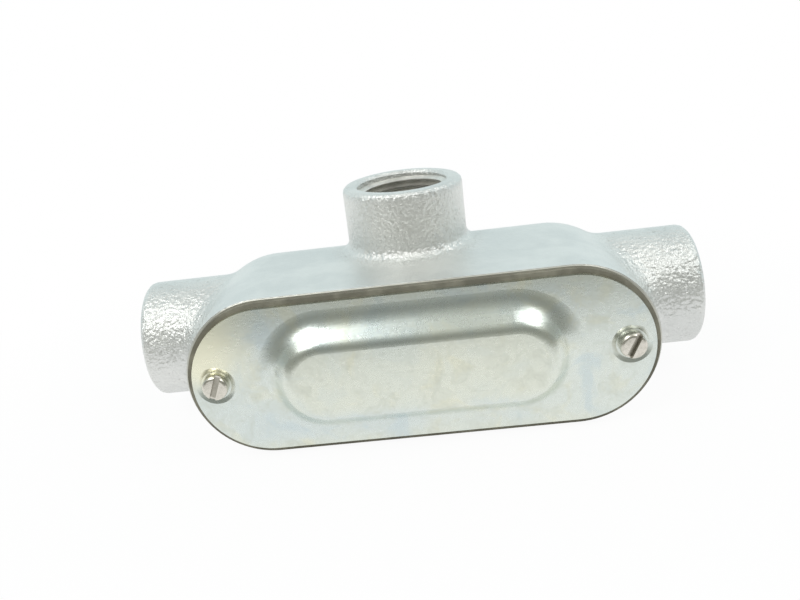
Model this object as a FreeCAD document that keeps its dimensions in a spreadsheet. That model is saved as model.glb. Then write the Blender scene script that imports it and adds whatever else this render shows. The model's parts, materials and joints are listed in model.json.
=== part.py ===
"""Conduit body, T type, for 3/4 inch conduit: a cast body with three threaded hubs, and a
domed sheet-steel cover held over a gasket by two screws.

Frame: millimetres, +Z up along the branch hub, run hubs along X, cover facing -Y.
The body, gasket and cover are drawn about the point where the three hub axes meet, and
each Placement stands the fitting on its flat lower side, centred on the origin.
"""
import FreeCAD, Part
import math
import os
import re
import Sketcher
from FreeCAD import Placement, Rotation, Vector

# ---------------------------------------------------------------- driving dimensions
DIMENSIONS = [
    # alias, value, meaning
    ("run_length", 163.6, "mouth to mouth along the run"),
    ("branch_reach", 41.15, "run axis to the mouth of the branch"),
    ("hub_radius", 17.65, "outside of a hub where it leaves the body"),
    ("hub_draft", 0.1, "how much less that radius is at the mouth"),
    ("run_mouth_round", 2.1, "rounded outer lip of a run hub"),
    ("branch_mouth_round", 1.6, "rounded outer lip of the branch hub"),
    ("bore_radius", 13.2, "hub bore, at the roots of the pipe thread"),
    ("bore_depth", 17.5, "threaded depth of a hub"),
    ("mouth_chamfer", 0.7, "lead-in of a hub bore"),
    ("throat_radius", 10.4, "smooth throat behind the thread"),
    ("throat_bevel", 1.2, "bevel of a throat's inner edge, which wires are drawn over"),
    ("half_width", 22.5, "half the body's width, and the radius of its round back"),
    ("body_straight", 81.4, "between the centres of the body's round ends"),
    ("front_depth", 37.5, "hub axes to the ground front rim"),
    ("wall", 3.2, "casting wall"),
    ("hub_blend", 9.0, "fillet from a run hub to the body"),
    ("branch_blend", 3.0, "fillet from the branch hub to the body"),
    ("rim_break", 0.3, "broken outer edge of the ground rim"),
    ("screw_spacing", 109.8, "between the two cover screws"),
    ("boss_radius", 4.6, "screw boss inside each end"),
    ("boss_reach", 6.4, "how far a boss runs out into the end wall"),
    ("boss_depth", 12.0, "length of a boss behind the rim"),
    ("boss_draft", 6.0, "degrees, how a boss narrows towards its foot"),
    ("tap_radius", 2.1, "threaded hole of a boss"),
    ("tap_beyond", 1.0, "how far that hole passes the boss's foot"),
    ("gasket_half", 21.8, "half-width of the gasket"),
    ("gasket_straight", 81.4, "between the centres of its round ends"),
    ("gasket_thick", 1.0, "thickness when pressed"),
    ("window_half", 16.0, "half-width of the gasket's window"),
    ("window_straight", 58.0, "between the centres of the window's ends"),
    ("gasket_hole", 5.8, "radius that clears the cover's pressed-in seats"),
    ("cover_half", 20.4, "half-width of the cover"),
    ("cover_straight", 81.7, "between the centres of its round ends"),
    ("steel", 1.2, "thickness of the cover's sheet"),
    ("dome_rise", 5.2, "height of the dome over the flange"),
    ("dome_straight", 50.0, "between the centres of the dome's round ends"),
    ("foot_half", 15.5, "half-width where the dome's slope meets the flange"),
    ("top_half", 9.95, "half-width of the dome's flat top"),
    ("foot_blend", 7.6, "hollow radius round the foot, outside"),
    ("top_blend", 4.2, "round radius of the top's edge, outside"),
    ("dome_slope", 42.0, "degrees, slope of the dome's sides"),
    ("seat_rim", 5.3, "outer radius of the pressed-in seat round a screw"),
    ("seat_floor", 4.1, "radius of the seat's flat floor"),
    ("seat_depth", 0.4, "how far a seat is pressed in"),
    ("cover_hole", 2.5, "radius of a clearance hole for a screw"),
    ("head_radius", 3.5, "screw head"),
    ("head_side", 1.9, "height of the head's straight side"),
    ("head_crown", 0.7, "rise of its crown above that"),
    ("crown_swell", 0.72, "part of that rise that is reached halfway in"),
    ("crown_flat", 1.7, "radius of the crown's nearly flat middle"),
    ("shank_radius", 2.05, "screw shank"),
    ("shank_length", 11.5, "length under the head"),
    ("shank_point", 0.6, "bevel at the shank's end"),
    ("slot_width", 1.2, "screwdriver slot"),
    ("slot_depth", 1.4, "screwdriver slot"),
    ("slot_beyond", 1.0, "how far the slot's cutter passes the head"),
    ("slot_lean_left", 10.0, "degrees from upright, top to the right"),
    ("slot_lean_right", 27.0, "degrees from upright, top to the right"),
]

doc = FreeCAD.newDocument("ConduitBody")
sheet = doc.addObject("Spreadsheet::Sheet", "Sizes")
for row, (alias, number, meaning) in enumerate(DIMENSIONS, start=1):
    sheet.set("A%d" % row, alias)
    sheet.set("B%d" % row, "%g" % number)
    sheet.set("C%d" % row, meaning)
    sheet.setAlias("B%d" % row, alias)
doc.recompute()

# Distances in front of the hub axes at which the layers of the front lie.
GASKET_FACE = "(front_depth + gasket_thick)"
COVER_FACE = "(front_depth + gasket_thick + steel)"
DOME_FACE = "(front_depth + gasket_thick + steel + dome_rise)"
HEAD_SEAT = "(front_depth + gasket_thick + steel - seat_depth)"

# Where each Placement puts the point in which the hub axes meet: midway between the front
# of the dome and the round back, and half the body's width above the ground.
STAND_Y = "(%s - half_width) / 2" % DOME_FACE
STAND_Z = "half_width"

LIP_TURNS = (0, 30, 60, 90)     # degrees, where the bands of a hub's rounded lip meet
ROOT_SLACK = 0.15               # how far the hubs' draft moves an edge at their roots
EXACT = 1e-3                    # for a place that an edge or outline lies at


# ---------------------------------------------------------------- expressions
def bound(words):
    """An expression on the sheet's aliases, written out for setExpression."""
    aliases = {alias for alias, number, meaning in DIMENSIONS}
    pick = lambda word: "Sizes." + word[0] if word[0] in aliases else word[0]
    return re.sub(r"[a-z_]+", pick, words)


def value(words):
    """The number that such an expression gives."""
    return float(sheet.evalExpression(bound(words)))


# ---------------------------------------------------------------- drawing helpers
def origin_feature(body, role):
    """One of the body's own origin planes or axes."""
    for feature in body.Origin.OriginFeatures:
        if feature.Role == role:
            return feature
    raise ValueError(role)


def new_body(label):
    """An empty PartDesign body at the fitting's common Placement."""
    body = doc.addObject("PartDesign::Body", label)
    body.Label = label
    body.setExpression("Placement.Base.y", bound(STAND_Y))
    body.setExpression("Placement.Base.z", bound(STAND_Z))
    return body


def new_sketch(body, name, plane, forward=None, across=None):
    """A sketch on an origin plane, moved along its normal and along its own x."""
    sketch = body.newObject("Sketcher::SketchObject", name)
    sketch.AttachmentSupport = (origin_feature(body, plane), [""])
    sketch.MapMode = "FlatFace"
    if forward:
        sketch.setExpression("AttachmentOffset.Base.z", bound(forward))
    if across:
        sketch.setExpression("AttachmentOffset.Base.x", bound(across))
    doc.recompute()
    return sketch


def measure(sketch, words, *constraint):
    """Adds a measured constraint and binds it to the sheet."""
    index = sketch.addConstraint(Sketcher.Constraint(*constraint))
    sketch.setExpression("Constraints[%d]" % index, bound(words))


def obround(body, name, half, straight, forward=None):
    """A front-view outline of two round ends joined by straight sides."""
    sketch = new_sketch(body, name, "XZ_Plane", forward)
    radius, centre = value(half), value(straight) / 2
    for side, start in ((-1, math.pi / 2), (1, -math.pi / 2)):
        circle = Part.Circle(Vector(side * centre, 0, 0), Vector(0, 0, 1), radius)
        sketch.addGeometry(Part.ArcOfCircle(circle, start, start + math.pi))
    for side in (-1, 1):
        ends = Vector(side * centre, side * radius, 0), Vector(-side * centre, side * radius, 0)
        sketch.addGeometry(Part.LineSegment(*ends))
    left, right, lower, upper = range(4)
    for first, first_end, second, second_end in ((left, 2, lower, 1), (lower, 2, right, 1),
                                                 (right, 2, upper, 1), (upper, 2, left, 1)):
        sketch.addConstraint(
            Sketcher.Constraint("Tangent", first, first_end, second, second_end))
    sketch.addConstraint(Sketcher.Constraint("Equal", left, right))
    sketch.addConstraint(Sketcher.Constraint("Horizontal", upper))
    sketch.addConstraint(Sketcher.Constraint("Symmetric", left, 3, right, 3, -1, 1))
    measure(sketch, half, "Radius", left, radius)
    measure(sketch, straight, "DistanceX", left, 3, right, 3, 2 * centre)
    doc.recompute()
    return sketch


def polygon(body, name, plane, corners, forward=None, across=None):
    """A closed outline whose corners are pairs of sheet expressions."""
    sketch = new_sketch(body, name, plane, forward, across)
    places = [(value(h), value(v)) for h, v in corners]
    points = [Vector(h, v, 0) for h, v in places]
    for here, there in zip(points, points[1:] + points[:1]):
        sketch.addGeometry(Part.LineSegment(here, there))
    for line in range(len(points)):
        following = (line + 1) % len(points)
        sketch.addConstraint(Sketcher.Constraint("Coincident", line, 2, following, 1))
    for line, (words, numbers) in enumerate(zip(corners, places)):
        for kind, axis, word, number in (("DistanceX", -2, words[0], numbers[0]),
                                         ("DistanceY", -1, words[1], numbers[1])):
            if abs(number) < 1e-9:
                sketch.addConstraint(Sketcher.Constraint("PointOnObject", line, 1, axis))
            else:
                measure(sketch, word, kind, -1, 1, line, 1, number)
    doc.recompute()
    return sketch


def circles(body, name, centres, radius, forward):
    """Equal circles in front view, on the run's level at given places across."""
    sketch = new_sketch(body, name, "XZ_Plane", forward)
    for index, words in enumerate(centres):
        centre = Vector(value(words), 0, 0)
        sketch.addGeometry(Part.Circle(centre, Vector(0, 0, 1), value(radius)))
        sketch.addConstraint(Sketcher.Constraint("PointOnObject", index, 3, -1))
        measure(sketch, words, "DistanceX", -1, 1, index, 3, centre.x)
        measure(sketch, radius, "Radius", index, value(radius))
    doc.recompute()
    return sketch


def pad(body, name, sketch, length, backward=False):
    """Grows a sketch towards the cover, or away from it."""
    feature = body.newObject("PartDesign::Pad", name)
    feature.Profile = sketch
    feature.setExpression("Length", bound(length))
    feature.Reversed = backward
    doc.recompute()
    return feature


def pocket(body, name, sketch, length, towards_cover=False):
    """Cuts a sketch away from the cover, or towards it, and makes sure that it cuts."""
    before = body.Shape.Volume
    feature = body.newObject("PartDesign::Pocket", name)
    feature.Profile = sketch
    feature.setExpression("Length", bound(length))
    feature.Reversed = towards_cover
    doc.recompute()
    assert body.Shape.Volume < before - EXACT, name + " cuts nothing"
    return feature


def turned(body, kind, name, sketch, axis):
    """A Revolution or a Groove of a sketch, all the way round one axis."""
    before = body.Shape.Volume if not body.Shape.isNull() else 0.0
    feature = body.newObject("PartDesign::" + kind, name)
    feature.Profile = sketch
    feature.ReferenceAxis = axis
    feature.Angle = 360
    doc.recompute()
    change = body.Shape.Volume - before
    assert change > EXACT if kind == "Revolution" else change < -EXACT, name + " does nothing"
    return feature


def along(body, role):
    """An origin axis of the body, as the axis of a turned feature."""
    return (origin_feature(body, role), [""])


def dressed(body, kind, name, chosen, words):
    """A Fillet or Chamfer on the edges that chosen(edge) picks from the body's shape."""
    base = body.Tip
    edges = ["Edge%d" % (i + 1) for i, edge in enumerate(base.Shape.Edges) if chosen(edge)]
    assert edges, name + " finds no edge"
    feature = body.newObject("PartDesign::" + kind, name)
    feature.Base = (base, edges)
    measure_name = "Radius" if kind == "Fillet" else "Size"
    feature.setExpression(measure_name, bound(words))
    doc.recompute()
    return feature


def ends_of(edge, axis):
    """Lowest and highest coordinate of an edge along one axis of its body's frame."""
    box = edge.BoundBox
    return {"x": (box.XMin, box.XMax), "y": (box.YMin, box.YMax), "z": (box.ZMin, box.ZMax)}[axis]


def lies_at(edge, axis, place):
    """True where the whole edge lies in one plane across an axis."""
    low, high = ends_of(edge, axis)
    return abs(low - place) < EXACT and abs(high - place) < EXACT


def half_obround(body, name, half, straight):
    """Half an obround on the XY plane, closed along the run axis, for turning about it."""
    sketch = new_sketch(body, name, "XY_Plane")
    radius, centre = value(half), value(straight) / 2
    for side, start in ((1, 0.0), (-1, math.pi / 2)):
        circle = Part.Circle(Vector(side * centre, 0, 0), Vector(0, 0, 1), radius)
        sketch.addGeometry(Part.ArcOfCircle(circle, start, start + math.pi / 2))
    crown = Vector(centre, radius, 0), Vector(-centre, radius, 0)
    base = Vector(-centre - radius, 0, 0), Vector(centre + radius, 0, 0)
    sketch.addGeometry(Part.LineSegment(*crown))
    sketch.addGeometry(Part.LineSegment(*base))
    right, left, crown, base = range(4)
    sketch.addConstraint(Sketcher.Constraint("Tangent", right, 2, crown, 1))
    sketch.addConstraint(Sketcher.Constraint("Tangent", crown, 2, left, 1))
    sketch.addConstraint(Sketcher.Constraint("Coincident", left, 2, base, 1))
    sketch.addConstraint(Sketcher.Constraint("Coincident", base, 2, right, 1))
    sketch.addConstraint(Sketcher.Constraint("PointOnObject", right, 3, -1))
    sketch.addConstraint(Sketcher.Constraint("PointOnObject", base, 1, -1))
    sketch.addConstraint(Sketcher.Constraint("PointOnObject", base, 2, -1))
    sketch.addConstraint(Sketcher.Constraint("Symmetric", left, 3, right, 3, -1, 1))
    sketch.addConstraint(Sketcher.Constraint("Equal", left, right))
    measure(sketch, half, "Radius", right, radius)
    measure(sketch, straight, "DistanceX", left, 3, right, 3, 2 * centre)
    doc.recompute()
    return sketch


# ---------------------------------------------------------------- the casting
def make_body():
    """The casting: a flat-sided box with a round back, three hubs and a cored inside.

    From the rim back to the hub axes its sides are flat; behind them the back is half a
    capsule about the run axis. The hubs blend into it, and each has a smooth throat
    behind its thread, so that wires are drawn over rounded iron.
    """
    body = new_body("body")
    rim = obround(body, "rim_outline", "half_width", "body_straight")
    pad(body, "box", rim, "front_depth")
    back = half_obround(body, "back_outline", "half_width", "body_straight")
    turned(body, "Revolution", "round_back", back, along(body, "X_Axis"))
    add_hubs(body)
    core_out(body)
    add_screw_bosses(body)
    bore_hubs(body)
    dressed(body, "Chamfer", "rim_edge", is_outer_rim, "rim_break")
    return body


def add_hubs(body):
    """Three tapered hubs with their outer lips and their fillets to the body."""
    right = hub_profile("run_length / 2", "run_mouth_round")
    run = polygon(body, "run_hub_outline", "XY_Plane", mirror_image(right[1:]) + right)
    turned(body, "Revolution", "run_hubs", run, along(body, "X_Axis"))
    up = [(radius, height) for height, radius in
          hub_profile("branch_reach", "branch_mouth_round")]
    branch = polygon(body, "branch_hub_outline", "XZ_Plane", [("0", "0")] + up)
    turned(body, "Revolution", "branch_hub", branch, along(body, "Z_Axis"))
    dressed(body, "Fillet", "run_hub_blends", is_run_root, "hub_blend")
    dressed(body, "Fillet", "branch_hub_blend", is_branch_root, "branch_blend")


def hub_profile(reach, lip):
    """Corners, along and across a hub's axis, from its root over its lip to that axis."""
    mouth = "hub_radius - hub_draft"
    corners = [("0", "hub_radius")]
    for turn in LIP_TURNS:
        corners.append((reach + " - %s * (1 - sin(%d))" % (lip, turn),
                        mouth + " - %s * (1 - cos(%d))" % (lip, turn)))
    return corners + [(reach, "0")]


def mirror_image(corners):
    """The same corners on the other side of the branch, in the opposite order."""
    return [("-(%s)" % across, up) for across, up in reversed(corners)]


def on_surface_of_turning(edge, axis, radius, slack):
    """True for a curved edge that keeps one distance from an axis all along."""
    if isinstance(edge.Curve, Part.Line):
        return False
    across = {"x": ("y", "z"), "z": ("x", "y")}[axis]
    distances = [math.hypot(*(getattr(point, name) for name in across))
                 for point in edge.discretize(7)]
    return all(abs(distance - radius) < slack for distance in distances)


def is_run_root(edge):
    """An edge where a run hub leaves the body."""
    lip = value("run_length / 2 - run_mouth_round")
    outermost = max(abs(place) for place in ends_of(edge, "x"))
    return outermost < lip - EXACT \
        and on_surface_of_turning(edge, "x", value("hub_radius"), ROOT_SLACK)


def is_branch_root(edge):
    """An edge where the branch hub leaves the body."""
    lip = value("branch_reach - branch_mouth_round")
    return ends_of(edge, "z")[1] < lip - EXACT \
        and on_surface_of_turning(edge, "z", value("hub_radius"), ROOT_SLACK)


def core_out(body):
    """The cored space: the outer form again, one wall's thickness inside it."""
    inner = "half_width - wall"
    core = obround(body, "core_outline", inner, "body_straight", "front_depth")
    pocket(body, "front_core", core, "front_depth")
    back = half_obround(body, "back_core_outline", inner, "body_straight")
    turned(body, "Groove", "back_core", back, along(body, "X_Axis"))


def add_screw_bosses(body):
    """A lug inside each end that grows out of the end wall, tapped for the cover screw."""
    inner, outer = "screw_spacing / 2", "screw_spacing / 2 + boss_reach"
    lugs = new_sketch(body, "boss_outline", "XZ_Plane", "front_depth")
    for side in (-1, 1):
        lug_outline(lugs, side, inner, outer)
    doc.recompute()
    bosses = pad(body, "screw_bosses", lugs, "boss_depth", backward=True)
    bosses.setExpression("TaperAngle", bound("-boss_draft"))
    doc.recompute()
    holes = circles(body, "tap_places", ["-" + inner, inner], "tap_radius", "front_depth")
    pocket(body, "tapped_holes", holes, "boss_depth + tap_beyond")


def lug_outline(sketch, side, inner, outer):
    """Half a boss: a round nose towards the middle and two sides into the end wall."""
    near, far, radius = side * value(inner), side * value(outer), value("boss_radius")
    start = math.pi / 2 if side > 0 else -math.pi / 2
    first = sketch.GeometryCount
    nose = Part.Circle(Vector(near, 0, 0), Vector(0, 0, 1), radius)
    sketch.addGeometry(Part.ArcOfCircle(nose, start, start + math.pi))
    turn = side * radius
    sketch.addGeometry(Part.LineSegment(Vector(near, -turn, 0), Vector(far, -turn, 0)))
    sketch.addGeometry(Part.LineSegment(Vector(far, -turn, 0), Vector(far, turn, 0)))
    sketch.addGeometry(Part.LineSegment(Vector(far, turn, 0), Vector(near, turn, 0)))
    arc, lower, end, upper = range(first, first + 4)
    sketch.addConstraint(Sketcher.Constraint("Tangent", arc, 2, lower, 1))
    sketch.addConstraint(Sketcher.Constraint("Coincident", lower, 2, end, 1))
    sketch.addConstraint(Sketcher.Constraint("Coincident", end, 2, upper, 1))
    sketch.addConstraint(Sketcher.Constraint("Tangent", upper, 2, arc, 1))
    sketch.addConstraint(Sketcher.Constraint("Vertical", end))
    sketch.addConstraint(Sketcher.Constraint("Horizontal", upper))
    sketch.addConstraint(Sketcher.Constraint("PointOnObject", arc, 3, -1))
    sign = "" if side > 0 else "-"
    measure(sketch, "boss_radius", "Radius", arc, radius)
    measure(sketch, sign + "(%s)" % inner, "DistanceX", -1, 1, arc, 3, near)
    measure(sketch, sign + "(%s)" % outer, "DistanceX", -1, 1, end, 1, far)


def bore_hubs(body):
    """The three hub bores: a lead-in, the bore for the thread, and the throat behind it."""
    end, inside = "run_length / 2", "run_length / 2 - bore_depth"
    lead = "run_length / 2 - mouth_chamfer"
    half = [(end, "0"), (end, "bore_radius + mouth_chamfer"), (lead, "bore_radius"),
            (inside, "bore_radius"), (inside, "throat_radius")]
    run = polygon(body, "run_bore_outline", "XY_Plane", half + mirror_image(half))
    turned(body, "Groove", "run_bores", run, along(body, "X_Axis"))
    inside = "branch_reach - bore_depth"
    branch = polygon(body, "branch_bore_outline", "XZ_Plane", [
        ("0", "0"), ("throat_radius", "0"), ("throat_radius", inside),
        ("bore_radius", inside), ("bore_radius", "branch_reach - mouth_chamfer"),
        ("bore_radius + mouth_chamfer", "branch_reach"), ("0", "branch_reach")])
    turned(body, "Groove", "branch_bore", branch, along(body, "Z_Axis"))
    dressed(body, "Chamfer", "throat_bevels", is_throat_edge, "throat_bevel")


def is_throat_edge(edge):
    """An edge of a throat on the side of the cored space, away from the bore's step."""
    radius = value("throat_radius")
    step_x, step_z = value("run_length / 2 - bore_depth"), value("branch_reach - bore_depth")
    at_step = lies_at(edge, "x", step_x) or lies_at(edge, "x", -step_x) \
        or lies_at(edge, "z", step_z)
    return not at_step and (on_surface_of_turning(edge, "x", radius, EXACT)
                            or on_surface_of_turning(edge, "z", radius, EXACT))


def is_outer_rim(edge):
    """An edge of the casting's outline in the plane of the rim."""
    reach = max(abs(place) for place in ends_of(edge, "z"))
    return lies_at(edge, "y", -value("front_depth")) and reach > value("half_width") - EXACT


# ---------------------------------------------------------------- gasket and cover
def make_gasket():
    """A flat rubber gasket with a long window and a hole for each screw."""
    body = new_body("gasket")
    outline = obround(body, "gasket_outline", "gasket_half", "gasket_straight", "front_depth")
    pad(body, "slab", outline, "gasket_thick")
    window = obround(body, "window_outline", "window_half", "window_straight", GASKET_FACE)
    pocket(body, "window", window, "gasket_thick")
    places = ["-screw_spacing / 2", "screw_spacing / 2"]
    holes = circles(body, "hole_places", places, "gasket_hole", GASKET_FACE)
    pocket(body, "screw_holes", holes, "gasket_thick")
    return body


def make_cover():
    """A pressed sheet-steel cover: flange, hollow dome and a dished seat at each screw.

    The dome's slope meets the flange and the flat top in two wide bends. Both skins of
    the sheet follow the same slope, one sheet's thickness apart; drawing thins the sheet
    at the upper bend, whose inside stays sharp.
    """
    body = new_body("cover")
    flange = obround(body, "cover_outline", "cover_half", "cover_straight", GASKET_FACE)
    pad(body, "flange", flange, "steel")
    lofted(body, "AdditiveLoft", "dome",
           obround(body, "foot_outline", "foot_half", "dome_straight", COVER_FACE),
           obround(body, "top_outline", "top_half", "dome_straight", DOME_FACE))
    dressed(body, "Fillet", "top_bend", on_front_at("top_half", DOME_FACE), "top_blend")
    dressed(body, "Fillet", "foot_bend", on_front_at("foot_half", COVER_FACE), "foot_blend")
    shift = " - steel * tan(dome_slope / 2)"
    inner_foot, inner_top = "foot_half" + shift, "top_half" + shift
    lofted(body, "SubtractiveLoft", "hollow",
           obround(body, "hollow_foot", inner_foot, "dome_straight", GASKET_FACE),
           obround(body, "hollow_top", inner_top, "dome_straight", DOME_FACE + " - steel"))
    hollow_foot = on_front_at(inner_foot, GASKET_FACE)
    dressed(body, "Fillet", "inner_foot_bend", hollow_foot, "foot_blend + steel")
    press_seats(body)
    return body


def lofted(body, kind, name, foot, top):
    """A ruled loft between two outlines."""
    feature = body.newObject("PartDesign::" + kind, name)
    feature.Profile = foot
    feature.Sections = [top]
    feature.Ruled = True
    doc.recompute()
    return feature


def on_front_at(half, forward):
    """Picks the edges of an obround outline of this half-width at this distance forward."""
    place, reach = -value(forward), value(half)

    def chosen(edge):
        low, high = ends_of(edge, "z")
        return lies_at(edge, "y", place) and abs(max(abs(low), abs(high)) - reach) < EXACT
    return chosen


def press_seats(body):
    """A shallow dished seat pressed in round each screw hole, standing out at the back."""
    face, back = "-" + COVER_FACE, "-" + GASKET_FACE
    place = "screw_spacing / 2"
    for kind, name, level in (("Revolution", "seat_back", back), ("Groove", "seat_dish", face)):
        outline = polygon(body, name + "_outline", "XY_Plane", [
            ("0", level), ("seat_rim", level), ("seat_floor", level + " + seat_depth"),
            ("0", level + " + seat_depth")], across=place)
        turned(body, kind, name, outline, (outline, ["V_Axis"]))
        mirrored(body, name + "s")
    holes = circles(body, "clearance_places", ["-" + place, place], "cover_hole", COVER_FACE)
    pocket(body, "clearance_holes", holes, "2 * steel")


def mirrored(body, name):
    """Repeats the last feature on the other side of the branch."""
    original = body.Tip
    feature = body.newObject("PartDesign::Mirrored", name)
    feature.Originals = [original]
    feature.MirrorPlane = (origin_feature(body, "YZ_Plane"), [""])
    body.Tip = feature
    doc.recompute()
    return feature


# ---------------------------------------------------------------- screws
def make_screw(label, side, lean):
    """A slotted screw, drawn about its own axis with the underside of its head at nought.

    Its Placement sets the head on the cover's seat, pointing at the cover, and leans the
    slot from upright.
    """
    body = doc.addObject("PartDesign::Body", label)
    body.Label = label
    top = "head_side + head_crown"
    outline = polygon(body, label + "_outline", "XZ_Plane", [
        ("0", "-shank_length"), ("shank_radius - shank_point", "-shank_length"),
        ("shank_radius", "shank_point - shank_length"), ("shank_radius", "0"),
        ("head_radius", "0"), ("head_radius", "head_side"),
        ("(head_radius + crown_flat) / 2", "head_side + crown_swell * head_crown"),
        ("crown_flat", top), ("0", top)])
    turned(body, "Revolution", label + "_blank", outline, along(body, "Z_Axis"))
    slot = polygon(body, label + "_slot_outline", "YZ_Plane", [
        ("-slot_width / 2", top + " + slot_beyond"), ("-slot_width / 2", top + " - slot_depth"),
        ("slot_width / 2", top + " - slot_depth"), ("slot_width / 2", top + " + slot_beyond")])
    pocket_both(body, label + "_slot", slot, "2 * (head_radius + slot_beyond)")
    face_cover = Rotation(Vector(1, 0, 0), 90) * Rotation(Vector(0, 0, 1), 90 - value(lean))
    body.Placement = Placement(Vector(0, 0, 0), face_cover)
    sign = "-" if side < 0 else ""
    body.setExpression("Placement.Base.x", bound(sign + "screw_spacing / 2"))
    body.setExpression("Placement.Base.y", bound("%s - %s" % (STAND_Y, HEAD_SEAT)))
    body.setExpression("Placement.Base.z", bound(STAND_Z))
    doc.recompute()
    return body


def pocket_both(body, name, sketch, length):
    """Cuts a sketch half its length to each side of its plane."""
    before = body.Shape.Volume
    feature = body.newObject("PartDesign::Pocket", name)
    feature.Profile = sketch
    feature.Midplane = True
    feature.setExpression("Length", bound(length))
    doc.recompute()
    assert body.Shape.Volume < before - EXACT, name + " cuts nothing"
    return feature


# ---------------------------------------------------------------- build, test and write
def test_objects():
    """Stops where any object of the document has failed to recompute."""
    for item in doc.Objects:
        if "Invalid" in item.State or "Error" in item.State:
            raise RuntimeError("%s is %s" % (item.Name, item.State))


def write(sub_part):
    """Writes one sub-part as a STEP file named after its label."""
    shape = sub_part.Shape
    if shape.isNull() or not shape.isValid() or len(shape.Solids) != 1:
        raise RuntimeError(sub_part.Label + " is not one valid solid")
    shape.exportStep(os.path.join("parts", sub_part.Label + ".step"))
    print("%-12s %10.1f mm3" % (sub_part.Label, shape.Volume))


sub_parts = [
    make_body(),
    make_gasket(),
    make_cover(),
    make_screw("screw_left", -1, "slot_lean_left"),
    make_screw("screw_right", 1, "slot_lean_right"),
]
doc.recompute()
test_objects()
os.makedirs("parts", exist_ok=True)
for item in sub_parts:
    write(item)
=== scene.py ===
# %% [markdown]
# # A cast conduit body with a domed cover
# The object is a T-shaped conduit body: an iron casting with three threaded hubs, plated with
# zinc, and a pressed steel cover that two slotted screws hold over a rubber gasket. Its solids
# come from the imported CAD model, and this lesson gives them their finishes, cuts the pipe
# threads into the hubs, and sets the studio round them.

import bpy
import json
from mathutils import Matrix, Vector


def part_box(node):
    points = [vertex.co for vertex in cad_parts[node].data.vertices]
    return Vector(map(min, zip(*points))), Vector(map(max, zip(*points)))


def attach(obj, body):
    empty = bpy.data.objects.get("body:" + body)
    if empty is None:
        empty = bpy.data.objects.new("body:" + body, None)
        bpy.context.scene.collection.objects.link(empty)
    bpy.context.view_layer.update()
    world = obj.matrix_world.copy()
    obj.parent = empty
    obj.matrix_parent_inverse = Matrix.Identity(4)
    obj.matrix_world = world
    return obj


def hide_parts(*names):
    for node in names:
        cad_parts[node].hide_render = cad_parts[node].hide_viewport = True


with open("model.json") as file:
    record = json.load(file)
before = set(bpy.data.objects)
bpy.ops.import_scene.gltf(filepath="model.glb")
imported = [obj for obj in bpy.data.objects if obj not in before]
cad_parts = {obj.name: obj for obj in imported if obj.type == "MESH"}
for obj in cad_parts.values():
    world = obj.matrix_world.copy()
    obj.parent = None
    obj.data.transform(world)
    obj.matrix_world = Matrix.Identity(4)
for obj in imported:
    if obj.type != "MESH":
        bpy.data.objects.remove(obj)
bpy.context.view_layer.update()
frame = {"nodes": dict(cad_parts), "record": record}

# %% [markdown]
# Lengths below are in metres, as Blender has them, so a size in millimetres is written with MM.
# Nothing may be selected before the first operator runs, because operators act on what is.

# %% Tools and a clean selection
import json
import math
import bpy
from mathutils import Quaternion, Vector

MM = 0.001
scene = bpy.context.scene
bpy.ops.object.select_all(action="DESELECT")

# %% [markdown]
# ## Where things are
# Every later place on the object is worked out from the imported model: the boxes of its nodes,
# and the three hub bores, which the record states as mounts. The run's axis and the branch's axis
# cross in one point, and most of the patterns below are measured from it.

# %% Places from the frame
mounts = {mount["name"]: mount for mount in frame["record"]["mounts"]}
run_bore = Vector(mounts["run_hub_right"]["pos_m"])
crossing = Vector((0.0, run_bore.y, run_bore.z))
body_low, body_high = (Vector(corner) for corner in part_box("body"))
half_width = crossing.z - body_low.z
rim_y = body_low.y
print("axes cross at", tuple(crossing), "half width", half_width)

# %% [markdown]
# ## Sums on sockets
# A finish is a tree of nodes. Writing that tree as Python expressions keeps it readable: this
# small class holds one output socket, and each operator on it adds the Math node that does the
# sum. Reflected forms let a plain number stand on the left, as in 1 - mask.

# %% A socket that does sums
class Wire:
    """One output socket of a finish; operators on it add Math nodes."""

    def __init__(self, finish, socket):
        self.finish, self.socket = finish, socket

    def maths(self, operation, *others):
        """A Math node of this wire and others."""
        return self.finish.math(operation, self, *others)

    def __add__(self, other): return self.maths("ADD", other)
    def __radd__(self, other): return self.maths("ADD", other)
    def __sub__(self, other): return self.maths("SUBTRACT", other)
    def __rsub__(self, other): return self.finish.math("SUBTRACT", other, self)
    def __mul__(self, other): return self.maths("MULTIPLY", other)
    def __rmul__(self, other): return self.maths("MULTIPLY", other)
    def __pow__(self, other): return self.maths("POWER", other)
    def __abs__(self): return self.maths("ABSOLUTE")

    def rises(self, start, end):
        """0 before start, 1 past end, and smooth between; start may be the larger."""
        return self.finish.node("ShaderNodeMapRange", {"interpolation_type": "SMOOTHSTEP"}, {
            "Value": self, "From Min": start, "From Max": end})


# %% [markdown]
# ## A finish
# One object makes a material, its Principled shader, and any other node: `node` takes the
# node's type, its settings and what goes into its sockets. The short methods under it name the
# few patterns that metal needs: noise, cells, mixes and bumps.

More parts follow.
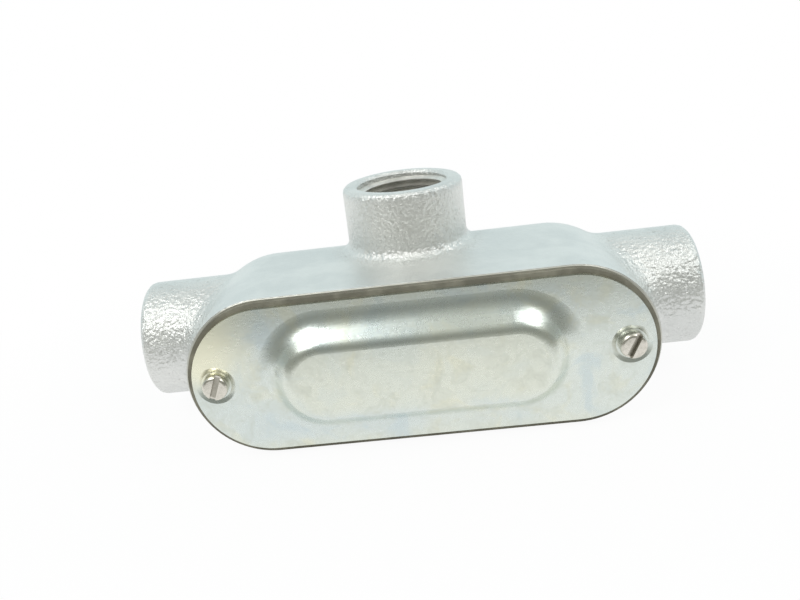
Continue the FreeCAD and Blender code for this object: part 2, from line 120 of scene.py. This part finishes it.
# %% The finish class
class Finish:
    """A material whose nodes are made by one method."""

    def __init__(self, name, owner=None):
        self.owner = owner or bpy.data.materials.new(name)
        self.owner.use_nodes = True
        self.tree = self.owner.node_tree
        self.tree.nodes.clear()

    def node(self, kind, settings=None, sockets=None, output=0):
        """Any node: settings first, then the values or wires of its sockets."""
        made = self.tree.nodes.new(kind)
        for name, setting in (settings or {}).items():
            setattr(made, name, setting)
        for name, given in (sockets or {}).items():
            self.feed(made.inputs[name], given)
        return Wire(self, made.outputs[output])

    def feed(self, socket, given):
        """Links a wire to a socket, or sets a plain value on it."""
        if isinstance(given, Wire):
            self.tree.links.new(given.socket, socket)
        else:
            socket.default_value = given

    def math(self, operation, *terms):
        """A Math node."""
        return self.node("ShaderNodeMath", {"operation": operation}, dict(enumerate(terms)))

    def place(self):
        """The point on the object, in metres, and its three coordinates."""
        point = self.node("ShaderNodeTexCoord", output="Object")
        axes = [self.node("ShaderNodeSeparateXYZ", sockets={"Vector": point}, output=axis)
                for axis in "XYZ"]
        return point, *axes

    def noise(self, point, size, detail=2.0, roughness=0.5, distortion=0.0):
        """Soft noise whose blobs are about size metres across."""
        return self.node("ShaderNodeTexNoise", {"noise_dimensions": "3D"}, {
            "Vector": point, "Scale": 1.0 / size, "Detail": detail, "Roughness": roughness,
            "Distortion": distortion}, output="Fac")

    def cells(self, point, size, smoothness):
        """Rounded cells about size metres across: 0 in their middles, more between them."""
        return self.node("ShaderNodeTexVoronoi", {"feature": "SMOOTH_F1"}, {
            "Vector": point, "Scale": 1.0 / size, "Smoothness": smoothness}, output="Distance")

    def stretched(self, point, turn, scale):
        """The point turned and scaled, for streaks and scratches."""
        return self.node("ShaderNodeMapping", sockets={
            "Vector": point, "Rotation": turn, "Scale": scale})

    def mix(self, factor, first, second):
        """One colour into another."""
        return self.node("ShaderNodeMix", {"data_type": "RGBA"}, {
            0: factor, 6: self.colour(first), 7: self.colour(second)}, output=2)

    def colour(self, given):
        """A colour as a socket takes it."""
        return given if isinstance(given, Wire) else (*given, 1.0)

    def bump(self, height, distance, strength=1.0, under=None):
        """A Bump node; height is from 0 to 1 and distance is its full relief in metres."""
        sockets = {"Height": height, "Distance": distance, "Strength": strength}
        if under is not None:
            sockets["Normal"] = under
        return self.node("ShaderNodeBump", sockets=sockets, output="Normal")

    def principled(self, **sockets):
        """The surface shader, linked to the output. Underscores stand for spaces."""
        named = {name.replace("_", " "): given for name, given in sockets.items()}
        shader = self.node("ShaderNodeBsdfPrincipled", sockets=named, output="BSDF")
        self.surface(shader)

    def surface(self, shader, kind="ShaderNodeOutputMaterial"):
        """Ends the tree in its output node."""
        ending = self.tree.nodes.new(kind)
        self.tree.links.new(shader.socket, ending.inputs["Surface"])


def wear(node_name, finish):
    """Gives a CAD node a finish."""
    slots = frame["nodes"][node_name].material_slots
    for slot in slots:
        slot.material = finish.owner
    print(node_name, "wears", finish.owner.name, "in", len(slots), "slot")


# %% [markdown]
# ## The casting's finish
# Malleable iron takes the grain of the sand that it is cast in, and zinc plate follows that
# grain, so the hubs sparkle like hammered silver while the flat walls are duller. One bump of
# pebbles about a millimetre across, with finer grain over it, gives the relief, and masks on
# position decide how strong it is: full on the hubs, low on the walls, none on the ground rim.
# On the hubs the tops of the pebbles are painted near white as painted glints, and the low pits
# of the relief are painted darker as painted shade, most on the hubs.
# The upright wall of the branch is painted a little paler than the rest, as painted light.

# %% Zinc over cast iron
HUB_FADE = (2.15 * half_width, 2.6 * half_width)
BRANCH_FADE = (25 * MM, 20 * MM)
PEBBLE = 1.0 * MM
LUMP = 1.5 * MM
SAND_GRAIN = 0.5 * MM
CAST_RELIEF = 0.44 * MM
WALL_SHARE = 0.24


def make_casting():
    """The plated casting: pebbled hubs, calmer walls and a ground rim."""
    cast = Finish("zinc_on_cast_iron")
    point, x, y, z = cast.place()
    wall_top = body_low.z + 2 * half_width
    on_run_hub = abs(x).rises(*HUB_FADE)
    from_branch = (x * x + (y - crossing.y) ** 2.0) ** 0.5
    on_branch = from_branch.rises(*BRANCH_FADE) * z.rises(wall_top - 2 * MM, wall_top)
    on_hub = on_run_hub.maths("MAXIMUM", on_branch)
    pebbles = cast.cells(point, PEBBLE, 0.5)
    lumps = cast.noise(point, LUMP, 3.0, 0.55)
    grain = cast.noise(point, SAND_GRAIN, 2.0, 0.6)
    waves = cast.noise(point, 9 * MM, 2.0, 0.5)
    relief = (1 - pebbles) * 0.55 + lumps * 1.0 + grain * 0.3
    depth = WALL_SHARE + (1 - WALL_SHARE) * on_hub
    ground = y.rises(rim_y + 0.35 * MM, rim_y + 0.05 * MM)
    height = relief * depth * (1 - ground)
    tone = cast.noise(point, 14 * MM, 3.0, 0.6)
    # Painted shade: darker where the lumps sink into pits, most on the hubs.
    pit_shade = lumps.rises(0.40, 0.24) * (0.25 + 0.75 * on_hub)
    # Painted glints: near white on the tops of the pebbles on the hubs.
    painted_glint = (pebbles.rises(0.28, 0.12) * grain.rises(0.5, 0.66)) * on_hub
    skin = cast.mix(tone.rises(0.35, 0.68), (0.72, 0.735, 0.72), (0.80, 0.81, 0.79))
    # Painted light: the upright wall of the branch is made paler.
    painted_light_on_branch = z.rises(wall_top + 3 * MM, wall_top + 9 * MM) * z.rises(
        body_high.z - 0.8 * MM, body_high.z - 3 * MM)
    skin = cast.mix(on_branch * painted_light_on_branch * 0.45, skin, (0.90, 0.90, 0.865))
    # Painted shade in the pits, then painted glints on the pebble tops.
    skin = cast.mix(pit_shade * 0.45, skin, (0.44, 0.44, 0.40))
    skin = cast.mix(painted_glint * 0.8, skin, (0.95, 0.95, 0.93))
    skin = cast.mix(ground, skin, (0.66, 0.66, 0.60))
    rough = 0.37 + 0.10 * tone + 0.03 * on_branch - 0.12 * painted_glint
    normal = cast.bump(waves, 0.25 * MM, 0.6)
    normal = cast.bump(height, CAST_RELIEF, 1.0, normal)
    cast.principled(Base_Color=skin, Metallic=0.86, Roughness=rough, Normal=normal)
    return cast


wear("body", make_casting())

# %% [markdown]
# ## The gasket's finish
# The gasket is a dark rubber sheet. Only its cut edge shows, between the casting and the
# cover, so it needs a fine dry grain and a little variation, and no gloss.

# %% Dark rubber
def make_rubber():
    """Dull dark brown rubber with a cut edge."""
    rubber = Finish("dark_rubber")
    point, x, y, z = rubber.place()
    fibre = rubber.noise(rubber.stretched(point, (0, 0, 0), (1, 3, 1)), 0.5 * MM, 3.0, 0.6)
    dusty = rubber.noise(point, 5 * MM, 2.0, 0.5)
    colour = rubber.mix(dusty.rises(0.35, 0.75), (0.17, 0.16, 0.125), (0.28, 0.265, 0.21))
    rubber.principled(Base_Color=colour, Roughness=0.62 + 0.2 * fibre,
                      Normal=rubber.bump(fibre, 0.08 * MM))
    return rubber


wear("gasket", make_rubber())

# %% [markdown]
# ## The cover's finish
# The pressed cover is smoother than the casting. Its zinc plate has been passivated, which
# leaves faint yellow, green and blue tints in patches, yellower towards the edges. Handling
# has left dull mottled stains and fine scratches, and a rolling grain runs along the sheet.
# The upper left corner is painted a pale, nearly white yellow: the yellow is the tint, and the
# brightness is a painted highlight.

# %% Passivated zinc on sheet steel
DOME_TOP_FADE_UP = (12 * MM, 7 * MM)
DOME_TOP_FADE_ALONG = (42 * MM, 28 * MM)
CORNER_FADE_ALONG = (-40 * MM, -58 * MM)
CORNER_FADE_UP = (-4 * MM, 6 * MM)
EDGE_FADE = (16.5 * MM, 20.4 * MM)
GREEN_ZINC, PALE_ZINC = (0.70, 0.765, 0.745), (0.74, 0.79, 0.74)
YELLOW_ZINC, BLUE_ZINC = (0.80, 0.81, 0.67), (0.61, 0.70, 0.72)
STAIN, CORNER_TINT_AND_HIGHLIGHT = (0.58, 0.61, 0.53), (0.97, 0.955, 0.755)


def make_sheet():
    """Satin zinc with passivation tints, blotches and fine scratches."""
    sheet = Finish("passivated_zinc")
    point, x, y, z = sheet.place()
    along, up = x - crossing.x, z - crossing.z
    blotch = sheet.noise(point, 13 * MM, 4.0, 0.62, distortion=0.5)
    cloud = sheet.noise(point, 30 * MM, 2.0, 0.5)
    speck = sheet.noise(point, 1.1 * MM, 3.0, 0.65)
    rolled = sheet.stretched(point, (0, 0, 0), (0.22, 1, 1))
    grain = sheet.noise(rolled, 0.5 * MM, 2.0, 0.6)
    dome_top = abs(up).rises(*DOME_TOP_FADE_UP) * abs(along).rises(*DOME_TOP_FADE_ALONG)
    # The upper left corner: its yellow tint is real, its near-white brightness a painted
    # highlight.
    corner = along.rises(*CORNER_FADE_ALONG) * up.rises(*CORNER_FADE_UP)
    edge = abs(up).rises(*EDGE_FADE)
    warm = dome_top * 0.55 + corner * 0.8 + edge * 0.35 + blotch.rises(0.52, 0.66) * 0.6
    cool = blotch.rises(0.48, 0.34) * (1 - dome_top * 0.7)
    metal = sheet.mix(cloud.rises(0.38, 0.62), GREEN_ZINC, PALE_ZINC)
    metal = sheet.mix(warm.maths("MINIMUM", 1.0) * 0.9, metal, YELLOW_ZINC)
    metal = sheet.mix(cool * 0.6, metal, BLUE_ZINC)
    mottle = sheet.noise(point, 4.5 * MM, 5.0, 0.72, distortion=0.9)
    first = sheet.noise(sheet.stretched(point, (0, 0.5, 0), (0.05, 1, 1)), 0.45 * MM, 1.0, 0.4)
    second = sheet.noise(sheet.stretched(point, (0, -0.9, 0), (0.07, 1, 1)), 0.5 * MM, 1.0, 0.4)
    scratch = first.rises(0.74, 0.84).maths("MAXIMUM", second.rises(0.74, 0.84))
    smudge = (mottle * 0.6 + blotch * 0.4).rises(0.46, 0.66)
    dull = (smudge * 0.42 + scratch * 0.22 + speck.rises(0.50, 0.76) * 0.22).maths("MINIMUM", 1.0)
    dull = dull * (1 - corner * 0.8)
    metal = sheet.mix(dull, metal, STAIN)
    # Painted highlight, with the yellow tint, on the upper left corner.
    metal = sheet.mix(corner * 0.85, metal, CORNER_TINT_AND_HIGHLIGHT)
    rough = 0.195 + 0.12 * mottle + 0.05 * speck + 0.06 * dull
    normal = sheet.bump(cloud, 0.5 * MM, 0.35)
    normal = sheet.bump(speck, 0.018 * MM, 1.0, normal)
    normal = sheet.bump(grain, 0.014 * MM, 1.0, normal)
    sheet.principled(Base_Color=metal, Metallic=0.95, Roughness=rough, Normal=normal)
    return sheet


wear("cover", make_sheet())

# %% [markdown]
# ## The screws' finish
# The screws are plated bright, and a little warmer than the zinc round them. Down in the slot
# the colour is darkened as painted shade.

# %% Bright plate
def make_screw_plate():
    """Bright warm plate with faint turning marks, and painted shade down in the slot."""
    plate = Finish("bright_plate")
    point, x, y, z = plate.place()
    marks = plate.noise(point, 0.8 * MM, 3.0, 0.6)
    from_axis = ((abs(x) - screw_reach) ** 2.0 + (z - crossing.z) ** 2.0) ** 0.5
    # Painted shade: dark down in the slot.
    slot_shade = y.rises(head_top + 0.55 * MM, head_top + 1.15 * MM) * from_axis.rises(
        head_radius - 0.25 * MM, head_radius - 0.6 * MM)
    metal = plate.mix(marks.rises(0.4, 0.7), (0.74, 0.71, 0.64), (0.63, 0.61, 0.54))
    metal = plate.mix(slot_shade * 0.6, metal, (0.20, 0.19, 0.15))
    plate.principled(Base_Color=metal, Metallic=1.0, Roughness=0.22 + 0.1 * marks,
                     Normal=plate.bump(marks, 0.02 * MM))
    return plate


screw_low, screw_high = (Vector(corner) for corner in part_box("screw_right"))
screw_reach = (screw_low.x + screw_high.x) / 2
head_radius = (screw_high.x - screw_low.x) / 2
head_top = screw_low.y
screw_plate = make_screw_plate()
for node_name in ("screw_left", "screw_right"):
    wear(node_name, screw_plate)

# %% [markdown]
# ## The screws
# Each screw is one headed pin with a slot milled across its head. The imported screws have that
# form, and these two take their place with a wider slot that leans as a hand left it. A head is
# turned first, its rim rounded off, and the slot is then cut with one straight pass.

# %% Turn and slot the screws
HEAD_HEIGHT = 2.6 * MM
RIM_ROUND = 0.9 * MM
SHANK_RADIUS = 2.05 * MM
SLOT_WIDTH = 1.6 * MM
SLOT_DEPTH = 1.4 * MM
LEANS = {"screw_left": 22.0, "screw_right": 27.0}


def turned(name, radius, near, far, reach):
    """A cylinder along Y from near to far."""
    bpy.ops.mesh.primitive_cylinder_add(
        vertices=96, radius=radius, depth=far - near, rotation=(math.pi / 2, 0, 0),
        location=(reach, (near + far) / 2, crossing.z))
    pin = bpy.context.object
    pin.name = name
    bpy.ops.object.transform_apply(location=True, rotation=True, scale=True)
    return pin


def apply_new(piece, kind, **settings):
    """Adds a modifier, sets it and applies it."""
    bpy.context.view_layer.objects.active = piece
    made = piece.modifiers.new(kind.lower(), kind)
    for setting, value in settings.items():
        setattr(made, setting, value)
    bpy.ops.object.modifier_apply(modifier=made.name)


def make_screw(node_name, lean):
    """One slotted screw in the place of an imported one."""
    low, high = (Vector(corner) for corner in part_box(node_name))
    reach = (low.x + high.x) / 2
    screw = turned(node_name + "_turned", head_radius, head_top, head_top + HEAD_HEIGHT, reach)
    apply_new(screw, "BEVEL", width=RIM_ROUND, segments=6, angle_limit=math.radians(60))
    shank = turned("shank", SHANK_RADIUS, head_top + HEAD_HEIGHT / 2, high.y, reach)
    apply_new(screw, "BOOLEAN", operation="UNION", object=shank, solver="EXACT")
    bpy.ops.mesh.primitive_cube_add(
        size=1.0, location=(reach, head_top, crossing.z),
        rotation=(0, math.radians(lean), 0),
        scale=(SLOT_WIDTH, 2 * SLOT_DEPTH, 3 * head_radius))
    cutter = bpy.context.object
    apply_new(screw, "BOOLEAN", operation="DIFFERENCE", object=cutter, solver="EXACT")
    for spare in (shank, cutter):
        bpy.data.objects.remove(spare)
    screw.data.materials.clear()
    screw.data.materials.append(screw_plate.owner)
    bpy.ops.object.select_all(action="DESELECT")
    screw.select_set(True)
    bpy.ops.object.shade_smooth_by_angle(angle=math.radians(35))
    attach(screw, "root")
    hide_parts(node_name)
    print(screw.name, "leans", lean, "degrees,", len(screw.data.polygons), "faces")


for node_name, lean in LEANS.items():
    make_screw(node_name, lean)

# %% [markdown]
# ## The pipe threads
# Each hub has a taper pipe thread of 14 turns to the inch. The CAD bore is at the roots of
# the thread, so the ridges are added here. A ridge could be a stack of rings, but a thread is
# one ridge that winds inwards, so its section is drawn once and a Screw modifier winds it.

# %% Wind one ridge
PITCH = 25.4 / 14 * MM
bore_radius = mounts["branch_hub"]["dims"]["r_mm"] * MM
bore_length = mounts["branch_hub"]["dims"]["length_mm"] * MM
RIDGE_HEIGHT = 1.35 * MM
CREST_FLAT = 0.22 * MM
ROOT_FLAT = 0.10 * MM
EMBED = 0.03 * MM
TAPER = 1 / 32
THREAD_START = 0.35 * MM
TURNS = int(bore_length / PITCH) - 1
STEPS = 96


def wind_ridge(name):
    """A helical ridge about Z whose first turn lies just under the mouth, at Z nought."""
    bpy.ops.mesh.primitive_plane_add(size=1.0, location=(0, 0, 0), rotation=(math.pi / 2, 0, 0))
    ridge = bpy.context.object
    ridge.name = name
    bpy.ops.object.transform_apply(location=True, rotation=True, scale=True)
    for corner in ridge.data.vertices:
        at_crest = corner.co.x < 0
        upper = corner.co.z > 0
        reach = CREST_FLAT / 2 if at_crest else (PITCH - ROOT_FLAT) / 2
        corner.co.x = bore_radius - RIDGE_HEIGHT if at_crest else bore_radius + EMBED
        corner.co.z = (reach if upper else -reach) - PITCH / 2
    winding = ridge.modifiers.new("winding", "SCREW")
    winding.axis = "Z"
    winding.screw_offset = -PITCH
    winding.iterations = TURNS
    winding.steps = winding.render_steps = STEPS
    winding.use_merge_vertices = False
    bpy.ops.object.modifier_apply(modifier=winding.name)
    return ridge


ridge = wind_ridge("thread_pattern")
print("one ridge:", len(ridge.data.polygons), "faces,", TURNS, "turns")

# %% [markdown]
# The wound ridge is straight, and a pipe thread narrows inwards, so the crests are drawn in
# by one part in thirty-two of their depth. Its first and last half turns run out to nothing at
# the wall, as the tool leaves them.

# %% Taper the crests and close the ends
def draw_in(ridge):
    """Tapers the crests, runs both ends out at the wall and closes the end faces."""
    lowest = min(corner.co.z for corner in ridge.data.vertices)
    for corner in ridge.data.vertices:
        radius = math.hypot(corner.co.x, corner.co.y)
        if radius < bore_radius - RIDGE_HEIGHT / 2:
            turn = -corner.co.z / PITCH - 0.5
            share = max(0.02, min(1.0, 2 * turn, 2 * (TURNS - turn)))
            wanted = bore_radius - (RIDGE_HEIGHT - corner.co.z * TAPER) * share
            corner.co.x *= wanted / radius
            corner.co.y *= wanted / radius
    bpy.ops.object.mode_set(mode="EDIT")
    bpy.ops.mesh.select_all(action="DESELECT")
    bpy.ops.mesh.select_non_manifold(extend=False, use_wire=False, use_multi_face=False,
                                     use_non_contiguous=False, use_verts=False)
    bpy.ops.mesh.edge_face_add()
    bpy.ops.mesh.select_all(action="SELECT")
    bpy.ops.mesh.normals_make_consistent(inside=False)
    bpy.ops.object.mode_set(mode="OBJECT")
    print("ridge reaches down to", round(lowest / MM, 2), "mm")


draw_in(ridge)

# %% [markdown]
# ## Three threads
# The ridge is copied into each hub: its mouth end goes to the hub's mouth and its axis along
# the bore. The turn is applied to the mesh, so that each object stays at the origin.

# %% Place the threads
def set_thread(name, mount):
    """A copy of the ridge in one hub."""
    thread = ridge.copy()
    thread.data = ridge.data.copy()
    thread.name = name
    scene.collection.objects.link(thread)
    axis = Vector(mount["axis"])
    mouth = Vector(mount["pos_m"]) + axis * (bore_length / 2 + THREAD_START)
    turn = axis.to_track_quat("Z", "Y").to_matrix().to_4x4()
    turn.translation = mouth
    thread.data.transform(turn)
    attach(thread, "root")
    return thread


threads = [set_thread("thread_" + name, mounts[name])
           for name in ("run_hub_left", "run_hub_right", "branch_hub")]
bpy.data.objects.remove(ridge)

# %% [markdown]
# ## The thread's finish
# A tap leaves bright, fairly smooth flanks with fine lines along the turns. Zinc is thin in
# there, so the thread's metal is a little warmer than the hub outside, and uneven at random.

# %% Cut and plated thread
def make_thread_metal():
    """Bright cut metal, a little uneven."""
    cut = Finish("cut_thread")
    point, x, y, z = cut.place()
    uneven = cut.noise(point, 2.2 * MM, 3.0, 0.6)
    metal = cut.mix(uneven.rises(0.35, 0.7), (0.72, 0.71, 0.67), (0.84, 0.83, 0.79))
    cut.principled(Base_Color=metal, Metallic=0.85, Roughness=0.26 + 0.16 * uneven,
                   Normal=cut.bump(uneven, 0.05 * MM))
    return cut


thread_metal = make_thread_metal()
for thread in threads:
    thread.data.materials.clear()
    thread.data.materials.append(thread_metal.owner)
    bpy.ops.object.select_all(action="DESELECT")
    thread.select_set(True)
    bpy.context.view_layer.objects.active = thread
    bpy.ops.object.shade_smooth_by_angle(angle=math.radians(35))

# %% [markdown]
# ## The floor
# A white sheet runs under the object and far behind it. The camera sees it as white, with a
# share of true shading near the object, so that its soft shadow stays. The metal mirrors the
# sheet too, and in front of the cover it ends: what the metal mirrors past that is a dim room.

# %% White sheet
SHEET_END = -0.127
SHEET_FADE = 0.012
SHEET_DROP = 0.05 * MM
SHEET_GREY = 0.88
DIM_ROOM = (0.27, 0.275, 0.245)
NEAR_GLOW = 0.94
MIRRORED_GLOW = 0.92
SHADOW_REACH, SHADOW_GONE = 0.09, 0.20


def make_paper():
    """White for camera, glossy and transmission rays, with a share of real shading."""
    paper = Finish("white_sheet")
    point, x, y, z = paper.place()
    ray = {name: paper.node("ShaderNodeLightPath", output=name)
           for name in ("Is Camera Ray", "Is Glossy Ray", "Is Transmission Ray")}
    mirrored = ray["Is Glossy Ray"].maths("MAXIMUM", ray["Is Transmission Ray"])
    past_end = y.rises(SHEET_END + SHEET_FADE, SHEET_END) * mirrored
    away = (x * x + y * y).rises(SHADOW_REACH ** 2, SHADOW_GONE ** 2)
    shown = paper.mix(past_end, (1, 1, 1), DIM_ROOM)
    grey = (SHEET_GREY, SHEET_GREY, SHEET_GREY, 1)
    diffuse = paper.node("ShaderNodeBsdfDiffuse", sockets={"Color": grey})
    glow = paper.node("ShaderNodeEmission", sockets={"Color": shown, "Strength": 1.0})
    share = ray["Is Camera Ray"] * (NEAR_GLOW + (1 - NEAR_GLOW) * away)
    paper.surface(paper.node("ShaderNodeMixShader", sockets={
        0: share.maths("MAXIMUM", mirrored * MIRRORED_GLOW), 1: diffuse, 2: glow}))
    return paper


FLOOR_SIZE = 8.0
bpy.ops.mesh.primitive_plane_add(size=FLOOR_SIZE, location=(0, 0, -SHEET_DROP))
floor = bpy.context.object
floor.name = "floor"
floor.data.materials.append(make_paper().owner)

# %% [markdown]
# ## The room
# Metal looks like what it mirrors. The room is a plain gradient by direction: cool white
# behind the object, a dim warm band at eye level in front, where the room is unlit, and a
# mid-grey ceiling in front and above.

# %% Room light by direction
def make_room():
    """The world: a background that is white to the camera and a soft room to everything else."""
    world = bpy.data.worlds.new("room")
    scene.world = world
    room = Finish("room", world)
    way = room.node("ShaderNodeTexCoord", output="Generated")
    x, y, z = (room.node("ShaderNodeSeparateXYZ", sockets={"Vector": way}, output=axis)
               for axis in "XYZ")
    seen = room.node("ShaderNodeLightPath", output="Is Camera Ray")
    front = y.rises(0.30, -0.30)
    ceiling = z.rises(0.20, 0.72)
    behind = room.mix(z.rises(0.5, 0.95), (0.80, 0.92, 0.94), (0.70, 0.73, 0.72))
    before = room.mix(ceiling, (0.26, 0.265, 0.24), (0.41, 0.42, 0.38))
    wall = room.mix(front, behind, before)
    shown = room.mix(seen, wall, (1, 1, 1))
    room.surface(room.node("ShaderNodeBackground", sockets={"Color": shown, "Strength": 1.0}),
                 "ShaderNodeOutputWorld")


make_room()

# %% [markdown]
# ## The lamps
# Two soft lamps hang in front, a large one high on the left and a weaker one on the right. They
# make the light bands along the hubs and the bright ends of the dome's slope, and leave the
# slope's middle grey.

# %% Soft lamps
def hang_lamp(name, place, size, radiance):
    """A square soft lamp at place that faces the object, as bright as radiance says."""
    lamp = bpy.data.lights.new(name, "AREA")
    lamp.shape = "SQUARE"
    lamp.size = size
    lamp.energy = radiance * math.pi * size * size
    hung = bpy.data.objects.new(name, lamp)
    hung.location = place
    hung.rotation_euler = (crossing - Vector(place)).to_track_quat("-Z", "Y").to_euler()
    scene.collection.objects.link(hung)
    return hung


hang_lamp("left_lamp", (-0.34, -0.34, 0.60), 0.40, 4.0)
hang_lamp("right_lamp", (0.36, -0.20, 0.51), 0.38, 2.3)

# %% [markdown]
# ## The camera
# A phone held close in front, at about the height of a hand above the table: it looks down by
# some eighteen degrees, is turned a little to the left and is tilted by nearly eight. A small
# lens shift frames the object without turning the view.

# %% Camera
EYE = Vector((3.91, -224.48, 114.39)) * MM
AIM = Vector((-11.36, -28.50, 49.92)) * MM
ROLL = math.radians(-7.70)
LENS = 36.75
SHIFT_X, SHIFT_Y = 0.0448, -0.0352

camera = bpy.data.cameras.new("camera")
camera.lens = LENS
camera.shift_x = SHIFT_X
camera.shift_y = SHIFT_Y
camera.clip_start = 1 * MM
eye = bpy.data.objects.new("camera", camera)
eye.location = EYE
level_view = (AIM - EYE).to_track_quat("-Z", "Y")
eye.rotation_euler = (level_view @ Quaternion((0, 0, 1), ROLL)).to_euler()
scene.collection.objects.link(eye)
scene.camera = eye
scene.view_settings.view_transform = "Standard"
